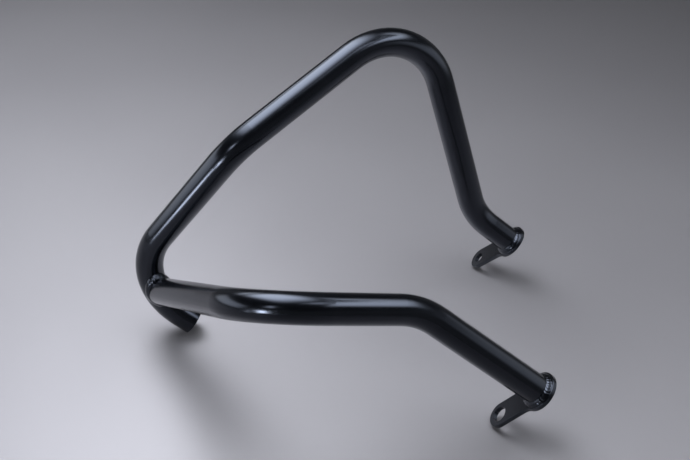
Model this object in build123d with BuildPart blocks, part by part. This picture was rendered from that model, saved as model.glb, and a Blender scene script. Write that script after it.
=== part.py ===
from build123d import *
import os
from math import cos, hypot, radians, sin, tan

# Motorcycle crash bars for one side: a long bent tube, a shorter arm coped onto its side, a keyhole
# plate welded to one end of each, and the weld beads. Lengths are millimetres, angles are degrees.

# Tube stock and the bending die, whose radius is to the tube's centreline
tube_diameter = 22.0
tube_wall = 2.0
bend_radius = 55.0

# Corners of the main tube's centreline, in the bars' own directions:
# x out from the plates, y from the lower plate to the upper plate, z along the rail
plate_spacing = 190.0
stub_length = 42.7
apex_reach = 205.7
apex_drop = 112.0
rail_reach = 260.2
rail_offset = 99.0
rail_start = 34.0
tail_rise = 190.0
tail_run = 13.0

# Corners of the arm's centreline, and where it aims at the bend between rail and tail
arm_run = 112.2
knee_reach = 214.2
knee_drop = 42.5
knee_rise = 41.5
joint_angle = 60.0
cope_land = 3.0

# Mounting plates: round behind the tube, with a tongue that carries the bolt hole
plate_thickness = 3.5
disc_margin = 1.0
tongue_width = 20.0
neck_radius = 12.0
edge_rounding = 0.5
upper_tongue_angle = 69.0
upper_hole_reach = 40.3
upper_hole_diameter = 9.0
lower_tongue_angle = 82.0
lower_hole_reach = 38.8
lower_hole_diameter = 12.5

# Weld beads
weld_leg = 3.0
weld_bulge = 0.62
saddle_bead = 4.2
saddle_shift = 1.4
saddle_inset = 3.4
saddle_steps = 16

tube_radius = tube_diameter / 2
tip_radius = tongue_width / 2
disc_radius = tube_radius + weld_leg + disc_margin
plates = {
    "upper_plate": (plate_spacing, upper_tongue_angle, upper_hole_reach, upper_hole_diameter),
    "lower_plate": (0, lower_tongue_angle, lower_hole_reach, lower_hole_diameter),
}

# The tail turns back from the rail and ends a short straight run past its bend
tail_reach = rail_reach - bend_radius - tail_run
main_corners = [
    (0, plate_spacing, 0),
    (stub_length, plate_spacing, 0),
    (apex_reach, plate_spacing, -apex_drop),
    (rail_reach, rail_offset, rail_start),
    (rail_reach, rail_offset, tail_rise),
    (tail_reach, rail_offset, tail_rise),
]

# The arm's axis aims at the centreline of the tail's bend and stops short of it
bend_centre = Vector(rail_reach - bend_radius, rail_offset, tail_rise - bend_radius)
joint_out = Vector(cos(radians(joint_angle)), 0, sin(radians(joint_angle)))
joint = bend_centre + joint_out * bend_radius
knee = Vector(knee_reach, -knee_drop, knee_rise)
arm_axis = (knee - joint).normalized()
arm_start = joint + arm_axis * cope_land
arm_corners = [tuple(arm_start), tuple(knee), (arm_run, 0, 0), (0, 0, 0)]


def tongue(angle):
    """Direction of a plate's tongue, turned from y towards z."""
    return Vector(0, cos(radians(angle)), sin(radians(angle)))


# The bars rest on three rims square to x: the tail's cut end and the outer edges of both tongue tips.
# Each rim's lowest point depends on the floor's direction, so the two are settled together.
rims = [(Vector(main_corners[-1]), tube_radius, 0.0)]
for height, angle, hole_reach, hole_diameter in plates.values():
    tip = Vector(edge_rounding - plate_thickness, height, 0) + tongue(angle) * hole_reach
    rims.append((tip, tip_radius - edge_rounding, edge_rounding))
settling_rounds = 20
up = Vector(1, 0, -1).normalized()
for settling in range(settling_rounds):
    down_rim = Vector(0, -up.Y, -up.Z).normalized()
    feet = [centre + down_rim * radius - up * edge for centre, radius, edge in rims]
    up = (feet[1] - feet[0]).cross(feet[2] - feet[0]).normalized()
    if up.Z > 0:
        up = -up
inboard = (Vector(-1, 0, 0) + up * up.X).normalized()
away = up.cross(inboard)

# The origin is on the floor, at the middle of the bars' footprint
with BuildLine() as main_line:
    FilletPolyline(*main_corners, radius=bend_radius)
with BuildLine() as arm_line:
    FilletPolyline(*arm_corners, radius=bend_radius)
line_steps = 400
line_points = [
    line.line @ (step / line_steps) for line in (main_line, arm_line) for step in range(line_steps + 1)
]


def reach(direction):
    """How far the bars extend from their own origin along a direction."""
    flat = hypot(direction.Y, direction.Z)
    tubes = max(point.dot(direction) for point in line_points) + tube_radius
    edges = []
    for height, angle, hole_reach, hole_diameter in plates.values():
        back = Vector(-plate_thickness, height, 0)
        edges.append(back.dot(direction) + disc_radius * flat)
        edges.append((back + tongue(angle) * hole_reach).dot(direction) + tip_radius * flat)
    return max(tubes, *edges)


middle_x = (reach(inboard) - reach(-inboard)) / 2
middle_y = (reach(away) - reach(-away)) / 2
standing = Plane(
    origin=(-middle_x, -middle_y, -feet[0].dot(up)),
    x_dir=(inboard.X, away.X, up.X),
    z_dir=(inboard.Z, away.Z, up.Z),
)


def stand(origin, x_dir, z_dir):
    """A plane given in the bars' own directions, placed as the bars stand."""
    return Plane(standing * Plane(origin=origin, x_dir=x_dir, z_dir=z_dir))


os.makedirs("parts", exist_ok=True)

# Centrelines as the bars stand
with BuildLine(standing) as main_path:
    FilletPolyline(*main_corners, radius=bend_radius)
with BuildLine(standing) as arm_path:
    FilletPolyline(*arm_corners, radius=bend_radius)
main_start_plane = Plane(origin=main_path.line @ 0, z_dir=main_path.line % 0)
arm_start_plane = Plane(origin=arm_path.line @ 0, z_dir=arm_path.line % 0)

# Filled tubes, used to cut the cope and to shape the saddle's bead
with BuildPart() as main_rod:
    with BuildSketch(main_start_plane):
        Circle(tube_radius)
    sweep(path=main_path.line)
with BuildPart() as arm_rod:
    with BuildSketch(arm_start_plane):
        Circle(tube_radius)
    sweep(path=arm_path.line)

# Main tube: upper stub, apex, rail and tail, open at the tail's cut end
with BuildPart() as main_tube:
    with BuildSketch(main_start_plane):
        Circle(tube_radius)
        Circle(tube_radius - tube_wall, mode=Mode.SUBTRACT)
    sweep(path=main_path.line)
main_tube.part.label = "main_tube"
export_step(main_tube.part, "parts/main_tube.step")

# Lower arm: its end is coped to sit on the side of the main tube
with BuildPart() as lower_arm:
    with BuildSketch(arm_start_plane):
        Circle(tube_radius)
        Circle(tube_radius - tube_wall, mode=Mode.SUBTRACT)
    sweep(path=arm_path.line)
    add(main_rod.part, mode=Mode.SUBTRACT)
lower_arm.part.label = "lower_arm"
export_step(lower_arm.part, "parts/lower_arm.step")

# Mounting plates and the fillet weld round each tube's end
for label, (height, angle, hole_reach, hole_diameter) in plates.items():
    face = stand((0, height, 0), tuple(tongue(angle)), (-1, 0, 0))
    with BuildPart() as plate:
        with BuildSketch(face) as outline:
            Circle(disc_radius)
            Rectangle(hole_reach, tongue_width, align=(Align.MIN, Align.CENTER))
            with Locations((hole_reach, 0)):
                Circle(tip_radius)
            fillet(outline.vertices().sort_by(Axis.X)[:2], neck_radius)
        extrude(amount=plate_thickness)
        fillet(plate.faces().filter_by(face).edges(), edge_rounding)
        with Locations(face.offset(plate_thickness)):
            with Locations((hole_reach, 0)):
                Hole(hole_diameter / 2)
    plate.part.label = label
    export_step(plate.part, f"parts/{label}.step")

    with BuildPart() as weld:
        with BuildSketch(stand((0, height, 0), (0, 1, 0), (0, 0, -1))) as bead:
            with BuildLine():
                toe = (tube_radius + weld_leg, 0)
                crown = (tube_radius + weld_bulge * weld_leg, weld_bulge * weld_leg)
                top = (tube_radius, weld_leg)
                Polyline(top, (tube_radius, 0), toe)
                ThreePointArc(toe, crown, top)
            make_face()
        revolve(axis=Axis(face.origin, -face.z_dir))
    weld.part.label = f"{label}_weld"
    export_step(weld.part, f"parts/{label}_weld.step")


def main_distance(point):
    """Distance of a point from the centreline of the tail's bend."""
    from_centre = point - bend_centre
    return hypot(hypot(from_centre.X, from_centre.Z) - bend_radius, from_centre.Y)


# Saddle: the bead's line on the main tube, round the arm. It lies a little towards the rail, where the
# two tubes make the sharper corner, and under the arm's flanks, where their surfaces run into each other
halvings = 40
bend_run = Vector(-joint_out.Z, 0, joint_out.X)
side = bend_run.cross(arm_axis).normalized()
front = side.cross(arm_axis)
saddle_points = []
for step in range(saddle_steps):
    turn = radians(360 * (step + 0.5) / saddle_steps)
    along = saddle_shift + tube_radius * cos(turn)
    across = (tube_radius - saddle_inset) * sin(turn)
    foot = joint + front * along + side * across
    inside = 0.0
    outside = 2 * tube_diameter
    for halving in range(halvings):
        trial = (inside + outside) / 2
        if main_distance(foot + arm_axis * trial) < tube_radius:
            inside = trial
        else:
            outside = trial
    saddle_points.append(foot + arm_axis * outside)

# Each corner of the saddle's line is rounded as much as its two runs allow
corner_share = 0.45
saddle_radii = []
for step, point in enumerate(saddle_points):
    before = point - saddle_points[step - 1]
    after = saddle_points[(step + 1) % saddle_steps] - point
    half_turn = radians(before.get_angle(after)) / 2
    saddle_radii.append(corner_share * min(before.length, after.length) / tan(half_turn))

# Saddle weld: a round bead along that line, cut back to the surfaces of the two tubes
with BuildPart() as saddle_weld:
    with BuildLine(standing) as saddle_line:
        FilletPolyline(*[tuple(point) for point in saddle_points], radius=saddle_radii, close=True)
    with BuildSketch(Plane(origin=saddle_line.line @ 0, z_dir=saddle_line.line % 0)):
        Circle(saddle_bead)
    sweep(path=saddle_line.line)
    add([main_rod.part, arm_rod.part], mode=Mode.SUBTRACT)
saddle_weld.part.label = "saddle_weld"
export_step(saddle_weld.part, "parts/saddle_weld.step")
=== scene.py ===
import math
import random

import bmesh
import bpy
import numpy as np
from mathutils import Matrix, Vector
from mathutils.bvhtree import BVHTree


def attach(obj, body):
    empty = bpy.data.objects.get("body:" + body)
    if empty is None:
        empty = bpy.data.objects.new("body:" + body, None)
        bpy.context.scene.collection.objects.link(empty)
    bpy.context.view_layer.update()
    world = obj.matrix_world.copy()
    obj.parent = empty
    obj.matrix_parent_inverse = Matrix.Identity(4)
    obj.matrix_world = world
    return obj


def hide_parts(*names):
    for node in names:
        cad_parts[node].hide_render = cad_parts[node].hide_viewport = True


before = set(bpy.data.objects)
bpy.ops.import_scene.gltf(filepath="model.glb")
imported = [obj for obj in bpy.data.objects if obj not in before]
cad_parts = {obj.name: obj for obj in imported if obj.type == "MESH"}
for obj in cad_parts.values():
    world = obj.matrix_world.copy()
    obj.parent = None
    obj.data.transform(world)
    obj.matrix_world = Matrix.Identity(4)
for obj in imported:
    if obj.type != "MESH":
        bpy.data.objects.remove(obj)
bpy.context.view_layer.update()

# Motorcycle crash bars in black powder coat: the tubes and plates are the solids, and the weld beads are
# modelled here with their ripples. Lengths are metres, angles are degrees.

# Camera, solved for a picture of this many pixels. The sensor is in millimetres
picture_width = 690
focal_pixels = 905.474
sensor_width = 36.0
nearest_view = 0.01
camera_place = (0.02701, -0.56698, 0.49523)
camera_heading = 2.103
camera_dip = 33.943
camera_roll = 1.015

# Noise: the range that holds most of its values, and the detail of clouds and of plain grain
noise_range = (0.3, 0.7)
cloud_detail = 4.0
grain_detail = 2.0

# Powder coat
coat_colour = (0.0008, 0.0009, 0.0013)
coat_colour_light = (0.0013, 0.0014, 0.0020)
coat_roughness = (0.17, 0.21)
coat_specular = 0.70
coat_tint = (0.76, 0.83, 1.0)
peel_size = 0.0018
peel_depth = 0.000005
cloud_size = 0.018

# Weld beads: each has a ripple pitch, a ripple depth round most of the bead, the depth at its boldest,
# the direction in which that lies from the bead's middle, how far it gathers there, how flat the bead
# is there, and a seed
beads = {
    "upper_plate_weld": (0.0032, 0.00006, 0.00014, (1.0, 0.0, 0.4), 4, 0.0, 3),
    "lower_plate_weld": (0.0028, 0.00012, 0.00036, (0.35, -1.0, 0.35), 4, 0.0, 8),
    "saddle_weld": (0.0034, 0.00006, 0.00030, (-0.06, -0.15, 1.0), 9, 0.8, 5),
}

# How finely a bead is divided round its ring and across its face, and how far its inside is sunk
bead_stations = 480
bead_across = 22
bead_sink = 0.0006

# Ripples: how their spacing and depth wander, how they bow, their valleys, and how they fade at the edges
ripple_wander = 0.22
ripple_unevenness = 0.25
wander_turns = range(2, 15)
crescent = 0.45
valley = 0.02
ripple_middle = 0.6
ripple_fade = 0.6

# A flat bead's ridge: its height, and where it lies across the bead
lean = 0.0004
lean_peak = 0.8

# Reading a bead's solid: the reach for its outer face, the least turn at an edge, and the gap within a point
cast_reach = 0.01
sharp_angle = 20.0
merge_reach = 1e-6

# A finished bead is shaded smooth up to this turn
crease_angle = 40.0

# Floor
floor_radius = 1.3
floor_segments = 96
floor_gap = 0.0002
floor_sheen = 0.6
floor_roughness = (0.50, 0.55)
floor_colour = (0.362, 0.343, 0.349)
floor_colour_light = (0.376, 0.357, 0.362)
floor_cloud = 0.35
floor_grain = 0.0012
floor_grain_depth = 0.00004

# Room light: dim overhead and lighter at the horizon, between two heights of the direction's unit vector
room_colour = (0.90, 0.94, 1.0)
room_level = 0.03
horizon_level = 0.12
horizon_heights = (0.14, 0.5)

# Softboxes that hang level overhead: the middle's x and y, width, length, radiance, turn, and the share of
# each side over which the light fades towards its edge
lamp_tint = (0.86, 0.91, 1.0)
box_height = 0.72
boxes = {
    "left_box": (-0.24, 0.19, 0.74, 1.14, 8.2, 34.0, 0.40),
    "left_wing": (-0.56, 0.62, 0.70, 1.00, 4.6, 34.0, 0.45),
    "middle_box": (0.17, -0.10, 0.62, 0.58, 4.4, 0.0, 0.42),
    "right_box": (0.53, -0.02, 0.64, 1.08, 5.6, 28.0, 0.40),
}

# Lamps that stand round the bars: place, the spot that they face, width, height, radiance, fading share,
# and the full angle of the beam
bars_middle = (0.0, 0.0, 0.12)
rail_middle = (-0.115, 0.011, 0.125)
joint_middle = (-0.148, 0.0, 0.07)
open_beam = 180.0
lamps = {
    "front_lamp": ((-0.563, -0.846, 0.157), bars_middle, 0.20, 0.20, 42.0, 0.30, 28.0),
    "front_glow": ((-0.66, -0.92, 0.20), bars_middle, 0.70, 0.45, 2.1, 0.50, open_beam),
    "low_lamp": ((-0.49, -0.39, 0.065), rail_middle, 0.18, 0.12, 25.0, 0.30, 24.0),
    "joint_lamp": ((-0.514, -0.638, 0.586), joint_middle, 0.40, 0.40, 10.0, 0.30, 20.0),
    "left_wall": ((-1.32, 0.05, 0.36), bars_middle, 2.1, 0.62, 1.9, 0.25, 130.0),
    "right_wall": ((1.40, 0.05, 0.42), bars_middle, 2.0, 0.70, 0.85, 0.30, 130.0),
}


def new_material(name):
    """A material with its node tree and its principled shader."""
    material = bpy.data.materials.new(name)
    material.use_nodes = True
    tree = material.node_tree
    shader = tree.nodes["Principled BSDF"]
    return material, tree, shader


def noise(tree, source, size, detail):
    """A noise texture whose features are about the given size."""
    node = tree.nodes.new("ShaderNodeTexNoise")
    node.inputs["Scale"].default_value = 1 / size
    node.inputs["Detail"].default_value = detail
    tree.links.new(source, node.inputs["Vector"])
    return node.outputs["Fac"]


def ranged(tree, source, low, high):
    """Stretches a noise's usual range to run from low to high."""
    node = tree.nodes.new("ShaderNodeMapRange")
    node.inputs["From Min"].default_value = noise_range[0]
    node.inputs["From Max"].default_value = noise_range[1]
    node.inputs["To Min"].default_value = low
    node.inputs["To Max"].default_value = high
    tree.links.new(source, node.inputs["Value"])
    return node.outputs["Result"]


def mixed(tree, factor, first, second):
    """A colour between two, by a factor."""
    node = tree.nodes.new("ShaderNodeMix")
    node.data_type = "RGBA"
    node.inputs["A"].default_value = (*first, 1)
    node.inputs["B"].default_value = (*second, 1)
    tree.links.new(factor, node.inputs["Factor"])
    return node.outputs["Result"]


def roughened(tree, shader, height, depth):
    """Gives a shader a bump of the given depth."""
    bump = tree.nodes.new("ShaderNodeBump")
    bump.inputs["Distance"].default_value = depth
    tree.links.new(height, bump.inputs["Height"])
    tree.links.new(bump.outputs["Normal"], shader.inputs["Normal"])


def powder_coat():
    """Semi-gloss black powder coat: orange peel, and slow clouds in its colour and gloss."""
    material, tree, shader = new_material("powder_coat_black")
    place = tree.nodes.new("ShaderNodeTexCoord").outputs["Object"]
    clouds = noise(tree, place, cloud_size, cloud_detail)
    colour = mixed(tree, ranged(tree, clouds, 0, 1), coat_colour, coat_colour_light)
    tree.links.new(colour, shader.inputs["Base Color"])
    tree.links.new(ranged(tree, clouds, *coat_roughness), shader.inputs["Roughness"])
    shader.inputs["Specular IOR Level"].default_value = coat_specular
    shader.inputs["Specular Tint"].default_value = (*coat_tint, 1)
    roughened(tree, shader, noise(tree, place, peel_size, grain_detail), peel_depth)
    return material


def floor_paint():
    """Plain pale floor with a satin sheen and a faint grain."""
    material, tree, shader = new_material("floor_pale")
    place = tree.nodes.new("ShaderNodeTexCoord").outputs["Object"]
    clouds = noise(tree, place, floor_cloud, grain_detail)
    colour = mixed(tree, ranged(tree, clouds, 0, 1), floor_colour, floor_colour_light)
    tree.links.new(colour, shader.inputs["Base Color"])
    tree.links.new(ranged(tree, clouds, *floor_roughness), shader.inputs["Roughness"])
    shader.inputs["Metallic"].default_value = floor_sheen
    roughened(tree, shader, noise(tree, place, floor_grain, grain_detail), floor_grain_depth)
    return material


def solid_copy(node):
    """A bead's solid as one closed mesh."""
    mesh = bmesh.new()
    mesh.from_mesh(node.data)
    bmesh.ops.remove_doubles(mesh, verts=mesh.verts, dist=merge_reach)
    return mesh


def edge_sections(mesh):
    """A bead's middle, and where its sharp edges pass each station round it, in order along its axis."""
    limit = math.radians(sharp_angle)
    sharp = [edge for edge in mesh.edges if edge.is_manifold and edge.calc_face_angle() > limit]
    cloud = np.array([vert.co for edge in sharp for vert in edge.verts])
    middle = cloud.mean(axis=0)
    first, second, axis = np.linalg.svd(cloud - middle, full_matrices=False)[2]
    step = 2 * math.pi / bead_stations
    sections = [[] for station in range(bead_stations)]
    for edge in sharp:
        ends = [np.array(vert.co) for vert in edge.verts]
        turns = [math.atan2((end - middle) @ second, (end - middle) @ first) / step for end in ends]
        turns[1] += bead_stations * round((turns[0] - turns[1]) / bead_stations)
        if turns[1] < turns[0]:
            turns.reverse()
            ends.reverse()
        for station in range(math.ceil(turns[0]), math.ceil(turns[1])):
            share = (station - turns[0]) / (turns[1] - turns[0])
            sections[station % bead_stations].append(ends[0] + share * (ends[1] - ends[0]))
    for section in sections:
        section.sort(key=lambda place: place @ axis)
    return Vector(middle), sections


def outer_edges(sections, tree):
    """The two edges of a bead's outer face at each station: the middle between them lies deepest inside."""
    edges = []
    for section in sections:
        pairs = [(Vector(a), Vector(b)) for k, b in enumerate(section) for a in section[:k]]
        start, end = max(pairs, key=lambda pair: tree.find_nearest(pair[0].lerp(pair[1], 0.5))[3])
        if edges and (end - start).dot(edges[-1][1] - edges[-1][0]) < 0:
            start, end = end, start
        edges.append((start, end))
    return edges


def outer_rows(edges, tree, sign):
    """Points and outward directions across a bead at each station, and how far they face the chosen side."""
    rows = []
    facing = 0.0
    for k, (start, end) in enumerate(edges):
        run = edges[(k + 1) % bead_stations][0] - edges[k - 1][0]
        out = sign * run.cross(end - start).normalized()
        row = []
        for j in range(bead_across + 1):
            chord = start.lerp(end, j / bead_across)
            place, normal, face, gap = tree.ray_cast(chord + out * cast_reach, -out, 2 * cast_reach)
            if place is None or j in (0, bead_across):
                place, normal = chord, out
            row.append((place, normal))
            facing += normal.dot(out)
        rows.append(row)
    return facing, rows


def bead_rows(node):
    """A bead's middle, and the rows of points and directions over its outer face, station by station."""
    mesh = solid_copy(node)
    tree = BVHTree.FromBMesh(mesh)
    middle, sections = edge_sections(mesh)
    mesh.free()
    edges = outer_edges(sections, tree)
    sides = [outer_rows(edges, tree, sign) for sign in (1, -1)]
    return middle, max(sides, key=lambda side: side[0])[1]


def smooth_wander(seed, scale):
    """A closed run of smooth random values, one for each station."""
    maker = random.Random(seed)
    waves = [(turns, maker.gauss(0, 1) / turns**0.5, maker.uniform(0, 2 * math.pi)) for turns in wander_turns]
    whole = math.sqrt(sum(size**2 for turns, size, start in waves) / 2)
    values = []
    for k in range(bead_stations):
        angle = 2 * math.pi * k / bead_stations
        value = sum(size * math.sin(turns * angle + start) for turns, size, start in waves)
        values.append(scale / whole * value)
    return values


def rippled(row, turn, depth, flatness):
    """One station's points across a bead with its ripples, and the point that closes it inside."""
    start, end = row[0][0], row[-1][0]
    out = row[bead_across // 2][1]
    points = []
    for j, (place, normal) in enumerate(row):
        across = j / bead_across
        rise = lean * min(across / lean_peak, (1 - across) / (1 - lean_peak))
        flat = start.lerp(end, across) + out * rise
        step = turn + crescent * (2 * across - 1) ** 2
        wave = math.sqrt(math.sin(math.pi * step) ** 2 + valley) - ripple_middle
        fade = math.sin(math.pi * across) ** ripple_fade
        points.append(place.lerp(flat, flatness) + normal * depth * wave * fade)
    points.append(start.lerp(end, 0.5) - out * bead_sink)
    return points


def ring_mesh(name, stations):
    """A closed ring of faces through the points of its stations, smooth except at creases."""
    mesh = bmesh.new()
    grid = [[mesh.verts.new(point) for point in points] for points in stations]
    for k, line in enumerate(grid):
        after = grid[(k + 1) % len(grid)]
        for j in range(len(line)):
            beside = (j + 1) % len(line)
            mesh.faces.new((line[j], after[j], after[beside], line[beside]))
    bmesh.ops.recalc_face_normals(mesh, faces=mesh.faces)
    for face in mesh.faces:
        face.smooth = True
    for edge in mesh.edges:
        edge.smooth = edge.calc_face_angle() < math.radians(crease_angle)
    data = bpy.data.meshes.new(name)
    mesh.to_mesh(data)
    mesh.free()
    return data


def add_bead(name, coat):
    """A weld bead with crescent ripples, in place of its smooth solid."""
    pitch, plain_depth, bold_depth, bold_way, focus, flatness, seed = beads[name]
    middle, rows = bead_rows(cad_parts[name])
    ridge = [row[bead_across // 2][0] for row in rows]
    run = [0.0]
    for k in range(bead_stations):
        run.append(run[-1] + (ridge[(k + 1) % bead_stations] - ridge[k]).length)
    count = max(1, round(run[-1] / pitch))
    phase = smooth_wander(seed, ripple_wander)
    unevenness = smooth_wander(seed + 1, ripple_unevenness)
    bold = Vector(bold_way).normalized()

    stations = []
    for k, row in enumerate(rows):
        toward = max(0.0, (ridge[k] - middle).normalized().dot(bold))
        boldness = toward**focus
        depth = (plain_depth + (bold_depth - plain_depth) * boldness) * (1 + unevenness[k])
        turn = count * run[k] / run[-1] + phase[k]
        stations.append(rippled(row, turn, depth, flatness * boldness))
    data = ring_mesh(name + "_rippled", stations)
    data.materials.append(coat)
    bead = bpy.data.objects.new(name + "_rippled", data)
    bpy.context.scene.collection.objects.link(bead)
    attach(bead, "root")
    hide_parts(name)


def add_floor():
    """A round floor under the bars' feet."""
    mesh = bmesh.new()
    bmesh.ops.create_circle(mesh, cap_ends=True, segments=floor_segments, radius=floor_radius)
    data = bpy.data.meshes.new("floor")
    mesh.to_mesh(data)
    mesh.free()
    data.materials.append(floor_paint())
    floor = bpy.data.objects.new("floor", data)
    floor.location.z = -floor_gap
    bpy.context.scene.collection.objects.link(floor)


def feathered(lamp, feather):
    """Fades a lamp's light towards its edges, by the distance from the nearer edge as a share of the side."""
    lamp.use_nodes = True
    tree = lamp.node_tree
    spot = tree.nodes.new("ShaderNodeSeparateXYZ")
    tree.links.new(tree.nodes.new("ShaderNodeNewGeometry").outputs["Parametric"], spot.inputs["Vector"])
    fades = []
    for side in "XY":
        near = tree.nodes.new("ShaderNodeMath")
        near.operation = "PINGPONG"
        near.inputs[1].default_value = 0.5
        tree.links.new(spot.outputs[side], near.inputs[0])
        fade = tree.nodes.new("ShaderNodeMapRange")
        fade.interpolation_type = "SMOOTHSTEP"
        fade.inputs["From Max"].default_value = feather
        tree.links.new(near.outputs[0], fade.inputs["Value"])
        fades.append(fade.outputs["Result"])
    both = tree.nodes.new("ShaderNodeMath")
    both.operation = "MULTIPLY"
    tree.links.new(fades[0], both.inputs[0])
    tree.links.new(fades[1], both.inputs[1])
    tree.links.new(both.outputs[0], tree.nodes["Emission"].inputs["Strength"])


def softbox(name, place, aim, width, height, radiance, feather, turn=0.0, beam=open_beam):
    """A rectangular lamp that faces a point, with the given radiance at its middle and width of beam."""
    lamp = bpy.data.lights.new(name, "AREA")
    lamp.shape = "RECTANGLE"
    lamp.size = width
    lamp.size_y = height
    lamp.energy = radiance * math.pi * width * height
    if beam < open_beam:
        half = math.radians(beam / 2)
        lamp.spread = 2 * half
        lamp.energy *= 1 - half / math.tan(half)
    lamp.color = lamp_tint
    feathered(lamp, feather)
    holder = bpy.data.objects.new(name, lamp)
    facing = (Vector(aim) - Vector(place)).to_track_quat("-Z", "Y").to_matrix().to_4x4()
    holder.matrix_world = Matrix.Translation(place) @ facing @ Matrix.Rotation(math.radians(turn), 4, "Z")
    holder.visible_camera = False
    bpy.context.scene.collection.objects.link(holder)


def add_lights():
    """The softboxes overhead and the lamps that stand round the bars."""
    for name, (x, y, width, length, radiance, turn, feather) in boxes.items():
        softbox(name, (x, y, box_height), (x, y, 0.0), width, length, radiance, feather, turn=turn)
    for name, (place, aim, width, height, radiance, feather, beam) in lamps.items():
        softbox(name, place, aim, width, height, radiance, feather, beam=beam)


def add_room():
    """A dim room round the lamps, lighter at the horizon."""
    world = bpy.data.worlds.new("room")
    world.use_nodes = True
    tree = world.node_tree
    background = tree.nodes["Background"]
    background.inputs["Color"].default_value = (*room_colour, 1)
    way = tree.nodes.new("ShaderNodeSeparateXYZ")
    tree.links.new(tree.nodes.new("ShaderNodeTexCoord").outputs["Generated"], way.inputs["Vector"])
    level = tree.nodes.new("ShaderNodeMapRange")
    level.interpolation_type = "SMOOTHSTEP"
    level.inputs["From Min"].default_value = horizon_heights[0]
    level.inputs["From Max"].default_value = horizon_heights[1]
    level.inputs["To Min"].default_value = horizon_level
    level.inputs["To Max"].default_value = room_level
    tree.links.new(way.outputs["Z"], level.inputs["Value"])
    tree.links.new(level.outputs["Result"], background.inputs["Strength"])
    bpy.context.scene.world = world


def add_camera():
    """The camera at the picture's place and angle."""
    data = bpy.data.cameras.new("camera")
    data.sensor_width = sensor_width
    data.lens = sensor_width * focal_pixels / picture_width
    data.clip_start = nearest_view
    camera = bpy.data.objects.new("camera", data)
    camera.matrix_world = (
        Matrix.Translation(camera_place)
        @ Matrix.Rotation(math.radians(camera_heading), 4, "Z")
        @ Matrix.Rotation(math.radians(90 - camera_dip), 4, "X")
        @ Matrix.Rotation(math.radians(camera_roll), 4, "Z")
    )
    bpy.context.scene.collection.objects.link(camera)
    bpy.context.scene.camera = camera


coat = powder_coat()
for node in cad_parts.values():
    node.material_slots[0].material = coat
for name in beads:
    add_bead(name, coat)
add_floor()
add_lights()
add_room()
add_camera()
bpy.context.scene.view_settings.view_transform = "Standard"
